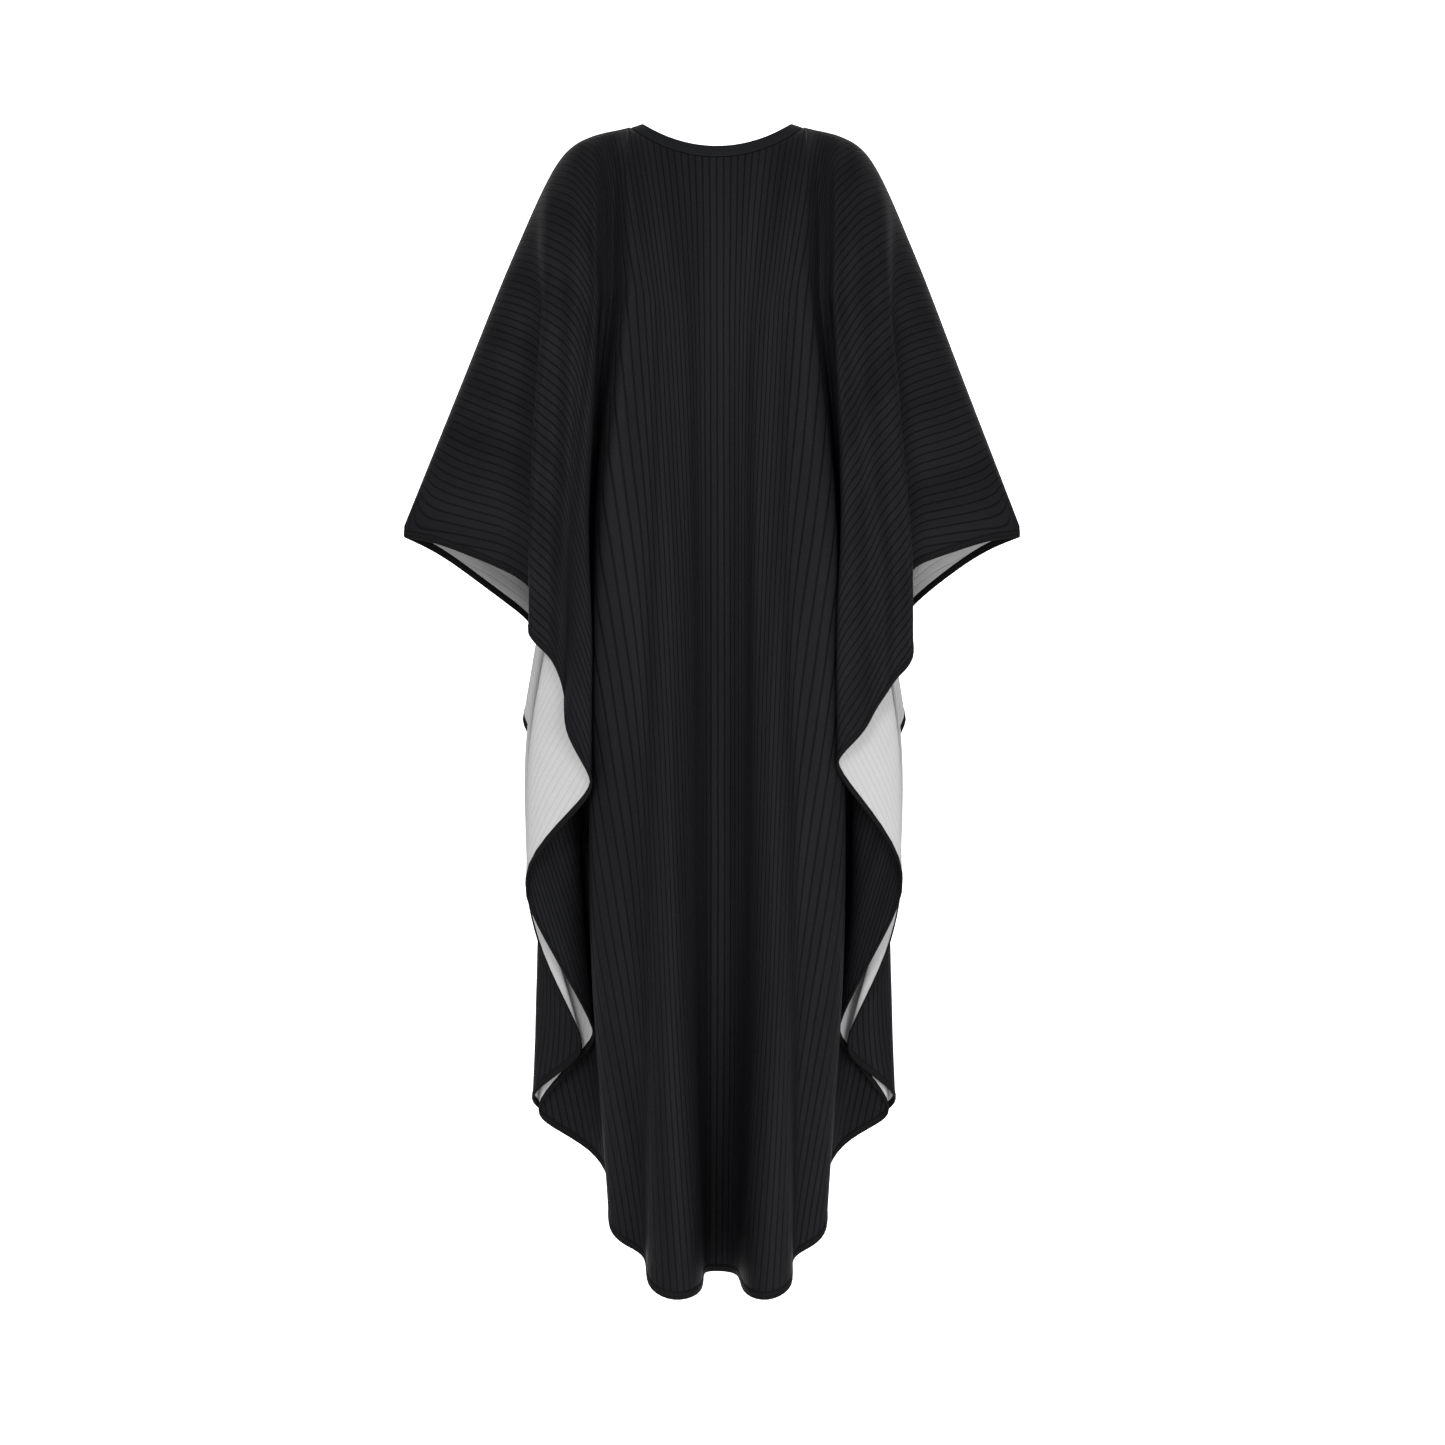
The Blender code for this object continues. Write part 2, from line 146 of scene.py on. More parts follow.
FRONT_FOLDS = {
    "centre_hollow": (0, 0, 108, 0, 106, 0, 96, 0, 74, -1288, 0, 0),
    "hollow_side": (26, 22, 109, 24, 110, 24, 108, 22, 96, -1289, 4, 0),
    "column_crown": (60, 48, 114, 50, 124, 54, 140, 54, 146, -1292, 4, 0),
    "column_outer": (90, 66, 110, 74, 116, 82, 124, 84, 116, -1284, 2, 0),
    "side_crest": (138, 90, 114, 112, 122, 118, 120, 108, 102, -1264, 4, 0),
    "tube_edge": (152, 100, 106, 135, 114, 140, 100, 126, 86, -1240, 5, 0),
    "tube_side": (160, 107, 94, 138, 88, 142, 54, 130, 46, -1206, 3, 0),
    "seam": (165, 112, 84, 141, 64, 146, 5, 140, 5, -1176, 2, 0),
    "wrap_1_out": (170, 117, 80, 152, 60, 197, 9, 212, 10, -1137, -2, 0),
    "wrap_1_turn": (174, 121, 79, 160, 60, 204, -12, 217, -25, -1114, -2, 0),
    "tongue_in": (178, 125, 79, 166, 61, 205, -23, 155, -29, -1074, -3, 0),
    "tongue_turn": (182, 129, 80, 173, 62, 204, -32, 149, -38, -1052, -3, 0),
    "tongue_out": (186, 133, 81, 180, 63, 210, -38, 202, -42, -958, -1, 0),
    "wrap_2_out": (190, 137, 82, 186, 65, 219, -33, 218, -37, -876, -2, 0),
    "wrap_2_turn": (194, 141, 83, 191, 68, 216, 16, 219, 6, -852, -2, 0),
    "far_in": (199, 146, 84, 195, 71, 186, 46, 172, 40, -800, -2, 0),
    "far_in_turn": (204, 151, 85, 197, 75, 184, 56, 170, 50, -784, -2, 0),
    "far_tip": (210, 157, 85, 201, 78, 209, 64, 229, 60, -700, -1, 0),
    "far_tip_turn": (216, 162, 85, 203, 83, 211, 74, 235, 72, -676, -1, 0),
    "far_back": (222, 167, 84, 201, 89, 196, 87, 195, 85, -656, 0, 0),
    "fold_2": (232, 172, 88, 201, 94, 194, 98, 191, 98, -640, 6, 0),
    "hollow_2": (250, 179, 80, 203, 98, 200, 103, 197, 103, -626, 8, 0),
    "fold_1": (270, 192, 76, 207, 104, 210, 107, 210, 107, -612, 11, 2),
    "sleeve_inner": (300, 198, 58, 208, 84, 210, 88, 211, 88, -594, 9, 6),
    "sleeve_body": (338, 211, 50, 216, 64, 219, 70, 221, 72, -570, 7, 9),
    "sleeve_upper": (406, 242, 44, 243, 54, 244, 56, 245, 56, -551, 2, 9),
    "sleeve_middle": (505, 282, 34, 283, 42, 284, 44, 285, 44, -521, 0, 8),
    "sleeve_lower": (604, 322, 20, 323, 26, 324, 28, 325, 28, -491, 0, 4),
    "sleeve_tip": (735, 361, 2, 361, 2.5, 361, 3, 361, 3, -475, 0, 0),
}

# Fine mesh steps: columns for each fold row, rows of the rounding at the top, rows of the hanging part
FINE_STEPS = 5
FINE_ROUND_ROWS = 14
FINE_HANG_ROWS = 132
NECK_SAMPLES = 91
ARM_SAMPLES = 141
TURN_STEP = 0.01
SAME_PLACE = 1e-9

# Cloth thickness, the hem rolled over its edge, and its stitches
SHELL = 1.4 * MM
HEM_HALF = 1.25 * MM
EDGE_WIDTH = 8.0 * MM
STITCH_PITCH = 3.2 * MM
STITCH_LENGTH = 2.3 * MM
STITCH_RADIUS = 0.28 * MM
STITCH_INSET = 4.4 * MM

# The cut, flat: the arm seam falls away from the neckband, and ribs run along the cloth's length
ARM_SEAM_SLOPE = math.radians(12.6)
FLAT_EDGE = [
    (0.0, -1.300),
    (0.120, -1.285),
    (0.240, -1.240),
    (0.360, -1.160),
    (0.450, -1.060),
    (0.510, -0.950),
    (0.550, -0.830),
    (0.585, -0.700),
    (0.615, -0.560),
    (0.635, -0.420),
    (0.630, -0.260),
    (0.610, -0.115),
]
RIB_PITCH = 8.0 * MM


def column(name):
    return FOLD_COLUMNS.index(name)


def spline(values, places):
    """Cubic B-spline through rows of values, read at places counted in rows."""
    padded = np.vstack([2 * values[0] - values[1], values, 2 * values[-1] - values[-2]])
    first = np.clip(np.floor(places).astype(int), 0, len(values) - 2)
    t = (places - first)[:, None]
    weights = (
        (1 - t) ** 3 / 6,
        (3 * t**3 - 6 * t**2 + 4) / 6,
        (-3 * t**3 + 3 * t**2 + 3 * t + 1) / 6,
        t**3 / 6,
    )
    return sum(weight * padded[first + step] for step, weight in enumerate(weights))


def ring_point(panel, turn, share):
    """A point of the neckband: turn is 0 at the centre and pi/2 at the right shoulder."""
    neck = NECK[panel]
    half = NECK_HALF_WIDTH + (BAND_HALF_WIDTH - NECK_HALF_WIDTH) * share
    depth = neck["depth"] + (neck["band_depth"] - neck["depth"]) * share
    drop = neck["drop"] + (neck["band_drop"] - neck["drop"]) * share
    return np.stack([
        half * np.sin(turn),
        neck["side"] * depth * np.cos(turn),
        -BAND_SHOULDER_DROP * share - drop * np.maximum(np.cos(turn), 0.0) ** NECK_CURVE,
    ], axis=-1)


def arc_table(points):
    steps = np.linalg.norm(np.diff(points, axis=0), axis=1)
    return np.concatenate([[0.0], np.cumsum(steps)])


def top_edge(panel, distance):
    """The top edge on the +X side, at a distance from the centre: the neckband, then the arm line."""
    turns = np.linspace(0, math.pi / 2, NECK_SAMPLES)
    neck = ring_point(panel, turns, 1.0)
    neck_arc = arc_table(neck)
    arm = np.array([(x * MM, 0.0, z * MM) for x, z in ARM_LINE])
    places = np.linspace(0, len(arm) - 1, ARM_SAMPLES)
    arm = spline(arm, places)
    arm_arc = arc_table(arm)
    corner = neck_arc[-1]
    on_neck = np.stack([np.interp(distance, neck_arc, line) for line in neck.T], axis=-1)
    on_arm = np.stack([np.interp(distance - corner, arm_arc, line) for line in arm.T], axis=-1)
    turn = np.interp(distance, neck_arc, turns)
    return np.where((distance < corner)[:, None], on_neck, on_arm), turn, corner


def fold_values(panel, folds, steps):
    """The table's values at every mesh column, from the left sleeve tip to the right one."""
    table = np.array(list(folds.values()), float)
    right = table.copy()
    for level, share in RIGHT_SHARES.items():
        beyond = np.maximum(table[:, column(f"x_{level}")] - BAND_HALF_WIDTH / MM, 0.0)
        right[:, column(f"x_{level}")] += share * table[:, column("x_right")] - beyond * (1 - RIGHT_REACH)
    right[:, column("z_end")] += table[:, column("z_right")]
    signed = []
    for rows, sign in ((table[::-1], -1.0), (right[1:], 1.0)):
        rows = rows.copy()
        for name in ("top", *(f"x_{level}" for level in RIGHT_SHARES)):
            rows[:, column(name)] *= sign
        signed.append(rows)
    rows = np.vstack(signed)
    places = np.linspace(0, len(rows) - 1, (len(rows) - 1) * steps + 1)
    values = spline(rows, places)
    values[:, : column("x_right")] *= MM
    _, _, corner = top_edge(panel, np.array([0.0]))
    for sign in (-1.0, 1.0):
        nearest = np.argmin(abs(values[:, 0] - sign * corner))
        values[nearest, 0] = sign * corner
    return values


def between(levels, heights, z):
    """Smooth curve through values given at four falling heights, for every column at once."""
    slopes = []
    for i in range(4):
        low, high = max(i - 1, 0), min(i + 1, 3)
        slopes.append((levels[high] - levels[low]) / (heights[high] - heights[low]))
    result = np.where(z > heights[0], levels[0] + slopes[0] * (z - heights[0]), levels[3])
    for i in range(3):
        span = heights[i + 1] - heights[i]
        t = (z - heights[i]) / span
        value = (
            (2 * t**3 - 3 * t**2 + 1) * levels[i]
            + (t**3 - 2 * t**2 + t) * span * slopes[i]
            + (3 * t**2 - 2 * t**3) * levels[i + 1]
            + (t**3 - t**2) * span * slopes[i + 1]
        )
        result = np.where((z <= heights[i]) & (z >= heights[i + 1]), value, result)
    return result


def panel_surface(panel, folds, steps, round_rows, hang_rows):
    """The panel's middle surface, as rows down from its top edge by columns across it.

    Also gives each column's turn round the neckband, and whether it hangs from the arm line."""
    values = fold_values(panel, folds, steps)
    sign = np.where(values[:, 0] < 0, -1.0, 1.0)
    top, turn, corner = top_edge(panel, abs(values[:, 0]))
    turn *= sign
    top[:, 0] *= sign
    on_arm = abs(values[:, 0]) >= corner - SAME_PLACE
    shortened = on_arm & (sign > 0)
    top[shortened, 0] = BAND_HALF_WIDTH + (top[shortened, 0] - BAND_HALF_WIDTH) * RIGHT_REACH
    top[:, 1] += np.where(on_arm, NECK[panel]["side"] * SEAM_GAP / 2, 0.0)
    end_z = values[:, column("z_end")]
    length = top[:, 2] - end_z
    heights = [top[:, 2] - np.minimum(drop * MM, share * length) for drop, share in LEVELS.values()]
    heights.append(end_z)
    yoke = heights[0]
    xs = [values[:, column(f"x_{level}")] for level in RIGHT_SHARES]
    ys = [values[:, column(f"y_{level}")] for level in RIGHT_SHARES]
    # The cloth leaves the arm line level and the neckband at its own slope.
    power = 0.5 + 0.5 * np.cos(turn)
    rounding = 1 - np.cos(np.linspace(0, math.pi / 2, round_rows + 1))
    hanging = np.linspace(0, 1, hang_rows + 1)[1:-1]
    hem_share = HEM_WIDTH / (yoke - end_z)
    surface = []
    for share in rounding:
        drop = share * (top[:, 2] - yoke)
        z = top[:, 2] - drop
        x = top[:, 0] + (xs[0] - top[:, 0]) * share
        rise = (1 - (1 - share) ** 2) ** power
        y = top[:, 1] + (ys[0] - top[:, 1]) * rise
        surface.append(np.stack([x, y, z], axis=-1))
    hem_top = 1 - hem_share
    for share in [*(hanging * hem_top[:, None]).T, hem_top, np.ones(len(end_z))]:
        z = yoke + (end_z - yoke) * share
        surface.append(np.stack([between(xs, heights, z), between(ys, heights, z), z], axis=-1))
    return np.array(surface), turn, on_arm


def upward(normals):
    """Unit directions, each turned to point up."""
    return normals * np.sign(normals[..., 2:]) / np.linalg.norm(normals, axis=-1, keepdims=True)


def ring_normal(panel, turn):
    """The neckband's outward direction where a panel joins it."""
    along = ring_point(panel, turn + TURN_STEP, 1.0) - ring_point(panel, turn - TURN_STEP, 1.0)
    across = ring_point(panel, turn, 1.0) - ring_point(panel, turn, 0.0)
    return upward(np.cross(along, across))


def surface_normals(surface, panel, turn, on_arm):
    """Outward unit directions, square to the seam along the arm line and matched to the neckband."""
    across = np.gradient(surface, axis=1)
    down = np.gradient(surface, axis=0)
    normals = np.cross(across, down) * NECK[panel]["side"]
    normals /= np.linalg.norm(normals, axis=2)[:, :, None]
    corners = on_arm & ~(np.roll(on_arm, 1) & np.roll(on_arm, -1))
    corners[[0, -1]] = False
    seam = np.where(corners[:, None], ring_normal(panel, turn), normals[0]) * (1.0, 0.0, 1.0)
    seam /= np.linalg.norm(seam, axis=1)[:, None]
    normals[0] = np.where(on_arm[:, None], seam, ring_normal(panel, turn))
    return normals


def row_places(folds, steps):
    """Each mesh column's place in the fold table, counted from the centre, negative on the left."""
    rows = len(folds) - 1
    return np.linspace(-rows, rows, 2 * rows * steps + 1)


def along_columns(surface):
    """Distance down each column from its top."""
    steps = np.linalg.norm(np.diff(surface, axis=0), axis=2)
    return np.vstack([np.zeros(surface.shape[1]), np.cumsum(steps, axis=0)])


def across_rows(surface):
    """Distance across each row, from the centre column."""
    steps = np.linalg.norm(np.diff(surface, axis=1), axis=2)
    arc = np.hstack([np.zeros((len(surface), 1)), np.cumsum(steps, axis=1)])
    return arc - arc[:, surface.shape[1] // 2][:, None]


def smooth_step(low, high, x):
    t = np.clip((x - low) / (high - low), 0, 1)
    return t * t * (3 - 2 * t)


def crease_field(surface, folds, creases, steps):
    """How far each point moves out along the normal for the listed creases."""
    places = abs(row_places(folds, steps))
    x, z = surface[:, :, 0], surface[:, :, 2]
    field = np.zeros(z.shape)
    for first, last, x_top, z_top, x_low, z_low, bow, width, depth, fade in creases:
        share = np.clip((z - z_top * MM) / ((z_low - z_top) * MM), 0, 1)
        centre = (x_top + (x_low - x_top) * share + bow * np.sin(math.pi * share)) * MM
        across = (x - centre) / (width * MM)
        upper = smooth_step(z_top * MM, (z_top - fade) * MM, z)
        lower = smooth_step(z_low * MM, (z_low + fade) * MM, z)
        ends = upper * lower
        rows = smooth_step(first - 0.5, first, places) * (1 - smooth_step(last, last + 0.5, places))
        field += depth * MM * np.exp(-(across**2)) * ends * rows
    return field * smooth_step(0, CREASE_START, along_columns(surface))


def flat_coordinates(panel, surface, folds, steps):
    """Each point's place in the flat cut: u across the grain from the centre, v up the grain."""
    values = fold_values(panel, folds, steps)
    distance = abs(values[:, 0])
    sign = np.where(values[:, 0] < 0, -1.0, 1.0)
    top, _, corner = top_edge(panel, distance)
    out = np.maximum(distance - corner, 0)
    on_neck = distance < corner
    corner_x = top_edge(panel, np.array([corner]))[0][0, 0]
    u_top = np.where(on_neck, abs(top[:, 0]), corner_x + out * math.cos(ARM_SEAM_SLOPE))
    v_top = np.where(on_neck, top[:, 2], -out * math.sin(ARM_SEAM_SLOPE))
    edge = np.array(FLAT_EDGE)
    edge_arc = arc_table(np.column_stack([edge, np.zeros(len(edge))]))
    middle = surface.shape[1] // 2
    hem = across_rows(surface)[-1]
    u_end, v_end = np.empty(len(hem)), np.empty(len(hem))
    for half in (slice(0, middle + 1), slice(middle, None)):
        part = abs(hem[half]) / abs(hem[half]).max() * edge_arc[-1]
        u_end[half] = np.interp(part, edge_arc, edge[:, 0])
        v_end[half] = np.interp(part, edge_arc, edge[:, 1])
    down = along_columns(surface)
    share = down / down[-1]
    u = (u_top + (u_end - u_top) * share) * sign
    v = v_top + (v_end - v_top) * share
    return u, v


def grid_faces(rows, columns, first=0):
    at = first + np.arange(rows * columns).reshape(rows, columns)
    return np.stack([at[:-1, :-1], at[1:, :-1], at[1:, 1:], at[:-1, 1:]], axis=-1).reshape(-1, 4)


def add_piece(name, points, faces, materials, slots=None, flat=None):
    mesh = bpy.data.meshes.new(name)
    sides = [tuple(int(i) for i in face) for face in faces]
    mesh.from_pydata([tuple(point) for point in points], [], sides)
    for material in materials:
        mesh.materials.append(material)
    if slots is not None:
        mesh.polygons.foreach_set("material_index", np.asarray(slots, np.int32))
    if flat is not None:
        layer = mesh.uv_layers.new(name="flat")
        corners = np.empty(len(mesh.loops), np.int32)
        mesh.loops.foreach_get("vertex_index", corners)
        layer.data.foreach_set("uv", np.asarray(flat, np.float32)[corners].reshape(-1))
    mesh.shade_smooth()
    piece = bpy.data.objects.new(name, mesh)
    bpy.context.collection.objects.link(piece)
    return piece


def shell(name, panel, surface, normals, flat, materials):
    """One panel: outer face, inner face and the cut edges between them."""
    rows, columns = surface.shape[:2]
    outer = surface + normals * SHELL / 2
    inner = surface - normals * SHELL / 2
    front = grid_faces(rows, columns)
    back = grid_faces(rows, columns, rows * columns)[:, ::-1]
    ring = np.concatenate([
        np.arange(columns),
        np.arange(1, rows) * columns + columns - 1,
        (rows - 1) * columns + np.arange(columns - 2, -1, -1),
        np.arange(rows - 2, 0, -1) * columns,
    ])
    after = np.roll(ring, -1)
    inside = rows * columns
    rim = np.stack([ring, after, after + inside, ring + inside], axis=-1)
    faces = np.concatenate([front, back, rim])
    if NECK[panel]["side"] > 0:
        faces = faces[:, ::-1]
    slots = np.concatenate([np.zeros(len(front)), np.ones(len(back)), np.zeros(len(rim))])
    points = np.concatenate([outer.reshape(-1, 3), inner.reshape(-1, 3)])
    uv = np.stack(flat, axis=-1).reshape(-1, 2)
    return add_piece(name, points, faces, materials, slots, np.concatenate([uv, uv]))


def profile_strip(name, rings, closed, material, turned=False):
    """A band through rings of points: rings[i] is the profile at step i."""
    count, around = rings.shape[:2]
    at = np.arange(count * around).reshape(count, around)
    nxt = np.roll(at, -1, axis=0) if closed else at[1:]
    now = at if closed else at[:-1]
    quads = np.stack([now, nxt, np.roll(nxt, -1, axis=1), np.roll(now, -1, axis=1)], axis=-1)
    faces = [tuple(face) for face in quads.reshape(-1, 4)]
    if not closed:
        faces += [tuple(at[0]), tuple(at[-1][::-1])]
    if turned:
        faces = [face[::-1] for face in faces]
    return add_piece(name, rings.reshape(-1, 3), faces, [material])


# The hem's section: steps round its edge, then shares of its width and of its half thickness
HEM_ROUND_STEPS = 7
HEM_SECTION = [(0.55, 1.0), (0.93, 0.92), (1.0, 0.55), (1.0, -0.55), (0.93, -0.92), (0.55, -1.0)]


def hem_rings(edge, into, out):
    """Rounded strip over the cut edge: edge points, directions into the cloth and out of it."""
    profile = []
    for angle in np.linspace(-math.pi / 2, math.pi / 2, HEM_ROUND_STEPS):
        profile.append((-math.cos(angle) * HEM_HALF, math.sin(angle) * HEM_HALF))
    profile += [(EDGE_WIDTH * along, HEM_HALF * up) for along, up in HEM_SECTION]
    return np.stack([edge + into * along + out * up for along, up in profile], axis=1)


# One stitch from end to end: shares of its length, shares of its radius, and heights in radii
STITCH_SHARES = (0.0, 0.12, 0.5, 0.88, 1.0)
STITCH_SIZES = (0.35, 0.9, 1.0, 0.9, 0.35)
STITCH_HEIGHTS = (-0.8, 0.1, 0.6, 0.1, -0.8)
STITCH_SIDES = 5


def stitch_mesh(name, line, out, into, material):
    """Short thread stitches along a line, set in from it and proud of the cloth."""
    arc = arc_table(line)
    starts = np.arange(STITCH_PITCH / 2, arc[-1] - STITCH_PITCH, STITCH_PITCH)

    def read(values, places):
        return np.stack([np.interp(places, arc, values[:, axis]) for axis in range(3)], axis=-1)

    points, faces = [], []
    for start in starts:
        places = start + np.array(STITCH_SHARES) * STITCH_LENGTH
        up, side = read(out, places), read(into, places)
        base = read(line, places) + side * STITCH_INSET + up * HEM_HALF
        first = len(points)
        for i, size in enumerate(STITCH_SIZES):
            for j in range(STITCH_SIDES):
                angle = 2 * math.pi * j / STITCH_SIDES
                height = math.sin(angle) * STITCH_RADIUS * size + STITCH_HEIGHTS[i] * STITCH_RADIUS
                offset = side[i] * math.cos(angle) * STITCH_RADIUS * size + up[i] * height
                points.append(base[i] + offset)
        for i in range(len(STITCH_SIZES) - 1):
            for j in range(STITCH_SIDES):
                a = first + i * STITCH_SIDES + j
                b = first + i * STITCH_SIDES + (j + 1) % STITCH_SIDES
                faces.append((a, b, b + STITCH_SIDES, a + STITCH_SIDES))
    return add_piece(name, points, faces, [material])


def unit(vectors):
    return vectors / np.linalg.norm(vectors, axis=-1, keepdims=True)


# Materials: noise scales are per metre, a bump is its strength and its height
CLOTH_IOR = 1.12
RIB_WANDER = 1.2 * MM
WANDER_SCALE = 9.0
GROOVE_SPAN = (0.02, 0.34)
RIPPLE_STRETCH = (160.0, 520.0, 1.0)
RIPPLE_BUMP = (0.7, 0.5 * MM)
# Painted sheen streaks: noise stretched long along the grain
SHEEN_STREAK_STRETCH = (30.0, 2.2, 1.0)
WEAVE_SCALE = 1500.0
WEAVE_BUMP = (0.35, 0.15 * MM)
PLAIN_BROAD_SCALE = 12.0
PLAIN_SHADES = (0.8, 1.15)
PLAIN_BUMP = (0.4, 0.2 * MM)


def new_material(name):
    material = bpy.data.materials.new(name)
    material.use_nodes = True
    tree = material.node_tree
    return material, tree, tree.nodes["Principled BSDF"]


def math_node(tree, operation, first, second=None, third=None):
    made = tree.nodes.new("ShaderNodeMath")
    made.operation = operation
    for i, value in enumerate((first, second, third)):
        if value is None:
            continue
        if isinstance(value, (int, float)):
            made.inputs[i].default_value = value
        else:
            tree.links.new(value, made.inputs[i])
    return made.outputs[0]


def mix_colours(tree, share, low, high):
    mix = tree.nodes.new("ShaderNodeMix")
    mix.data_type = "RGBA"
    tree.links.new(share, mix.inputs["Factor"])
    mix.inputs["A"].default_value = low
    mix.inputs["B"].default_value = high
    return mix.outputs["Result"]


def flat_axes(tree):
    """The place in the flat cut, and its part across the ribs."""
    uv = tree.nodes.new("ShaderNodeUVMap")
    uv.uv_map = "flat"
    split = tree.nodes.new("ShaderNodeSeparateXYZ")
    tree.links.new(uv.outputs["UV"], split.inputs[0])
    return uv.outputs["UV"], split.outputs["X"]


def noise_at(tree, vector, scale, detail, stretch=(1, 1, 1)):
    mapping = tree.nodes.new("ShaderNodeMapping")
    mapping.inputs["Scale"].default_value = stretch
    tree.links.new(vector, mapping.inputs["Vector"])
    made = tree.nodes.new("ShaderNodeTexNoise")
    made.inputs["Scale"].default_value = scale
    made.inputs["Detail"].default_value = detail
    tree.links.new(mapping.outputs["Vector"], made.inputs["Vector"])
    return made.outputs["Fac"]


def bump(tree, height, strength, distance, before=None):
    made = tree.nodes.new("ShaderNodeBump")
    made.inputs["Strength"].default_value = strength
    made.inputs["Distance"].default_value = distance
    tree.links.new(height, made.inputs["Height"])
    if before is not None:
        tree.links.new(before, made.inputs["Normal"])
    return made.outputs["Normal"]


def ribbed_cloth(name, colour, groove_shade, roughness, rib_height, fleck, sheen_streak):
    """Woven cloth with a thin groove at each rib along its length, its colour painted darker there as shade.

    Fleck is the share by which its tone varies in small ripples, and streak the share by which painted sheen
    lightens and darkens it in long streaks along the grain."""
    material, tree, shader = new_material(name)
    uv, u = flat_axes(tree)
    noise = noise_at(tree, uv, WANDER_SCALE, 1.0)
    wander = math_node(tree, "MULTIPLY_ADD", noise, RIB_WANDER, -RIB_WANDER / 2)
    place = math_node(tree, "DIVIDE", math_node(tree, "ADD", u, wander), RIB_PITCH)
    # 0 at a groove, 1 midway between two
    wave = math_node(tree, "PINGPONG", place, 0.5)
    wave = math_node(tree, "MULTIPLY", wave, 2.0)
    ridge = tree.nodes.new("ShaderNodeMapRange")
    ridge.interpolation_type = "SMOOTHSTEP"
    ridge.inputs["From Min"].default_value, ridge.inputs["From Max"].default_value = GROOVE_SPAN
    tree.links.new(wave, ridge.inputs["Value"])
    ripple = noise_at(tree, uv, 1.0, 2.0, RIPPLE_STRETCH)
    sheen_streak_noise = noise_at(tree, uv, 1.0, 3.0, SHEEN_STREAK_STRETCH)
    weave = noise_at(tree, uv, WEAVE_SCALE, 1.0)
    # The hollow at each rib gets a darker colour: painted shade, beside the real bump
    shade = mix_colours(tree, ridge.outputs["Result"], groove_shade, colour)
    tint = tree.nodes.new("ShaderNodeMix")
    tint.data_type = "RGBA"
    tint.blend_type = "MULTIPLY"
    tint.inputs["Factor"].default_value = 1.0
    tree.links.new(shade, tint.inputs["A"])
    flecks = math_node(tree, "MULTIPLY_ADD", ripple, fleck, 1.0 - fleck / 2)
    # Long streaks along the grain: painted sheen, lighter and darker
    sheen_streak_tone = math_node(tree, "MULTIPLY_ADD", sheen_streak_noise, sheen_streak, 1.0 - sheen_streak / 2)
    fleck_and_sheen = math_node(tree, "MULTIPLY", flecks, sheen_streak_tone)
    grey = tree.nodes.new("ShaderNodeCombineColor")
    for channel in ("Red", "Green", "Blue"):
        tree.links.new(fleck_and_sheen, grey.inputs[channel])
    tree.links.new(grey.outputs["Color"], tint.inputs["B"])
    tree.links.new(tint.outputs["Result"], shader.inputs["Base Color"])
    normal = bump(tree, ridge.outputs["Result"], 1.0, rib_height)
    normal = bump(tree, ripple, *RIPPLE_BUMP, normal)
    normal = bump(tree, weave, *WEAVE_BUMP, normal)
    tree.links.new(normal, shader.inputs["Normal"])
    shader.inputs["Roughness"].default_value = roughness
    shader.inputs["IOR"].default_value = CLOTH_IOR
    return material


def plain_cloth(name, colour, roughness, weave_scale):
    """Close plain weave."""
    material, tree, shader = new_material(name)
    coords = tree.nodes.new("ShaderNodeTexCoord")
    weave = noise_at(tree, coords.outputs["Object"], weave_scale, 2.0)
    broad = noise_at(tree, coords.outputs["Object"], PLAIN_BROAD_SCALE, 2.0)
    share = math_node(tree, "MULTIPLY_ADD", weave, 0.5, math_node(tree, "MULTIPLY", broad, 0.5))
    dark, light = [tuple(c * shade for c in colour) + (1.0,) for shade in PLAIN_SHADES]
    tree.links.new(mix_colours(tree, share, dark, light), shader.inputs["Base Color"])
    normal = bump(tree, weave, *PLAIN_BUMP)
    tree.links.new(normal, shader.inputs["Normal"])
    shader.inputs["Roughness"].default_value = roughness
    shader.inputs["IOR"].default_value = CLOTH_IOR
    return material


# Each cloth's groove colour is painted shade in the rib hollows, and its streak share is painted sheen
OUTER_CLOTH = ribbed_cloth(
    "outer_cloth",
    colour=(0.0052, 0.0053, 0.0062, 1.0),
    groove_shade=(0.0014, 0.0014, 0.0017, 1.0),
    roughness=0.6,
    rib_height=0.5 * MM,
    fleck=0.3,
    sheen_streak=1.1,
)
INNER_CLOTH = ribbed_cloth(
    "inner_cloth",
    colour=(0.30, 0.30, 0.30, 1.0),
    groove_shade=(0.275, 0.275, 0.275, 1.0),
    roughness=0.8,
    rib_height=0.2 * MM,
    fleck=0.04,
    sheen_streak=0.1,
)
HEM_CLOTH = plain_cloth("hem_cloth", (0.0035, 0.0035, 0.0039), roughness=0.7, weave_scale=900.0)
BAND_CLOTH = plain_cloth("band_cloth", (0.0064, 0.0066, 0.0076), roughness=0.7, weave_scale=900.0)
THREAD = plain_cloth("thread", (0.014, 0.014, 0.015), roughness=0.6, weave_scale=2500.0)
# Near-black sheet in the neckband seam: painted shade
SEAM_SHADE = plain_cloth("seam_shade", (0.0012, 0.0012, 0.0013), roughness=0.9, weave_scale=900.0)

# No crease above this distance from the top edge
CREASE_START = 30.0 * MM

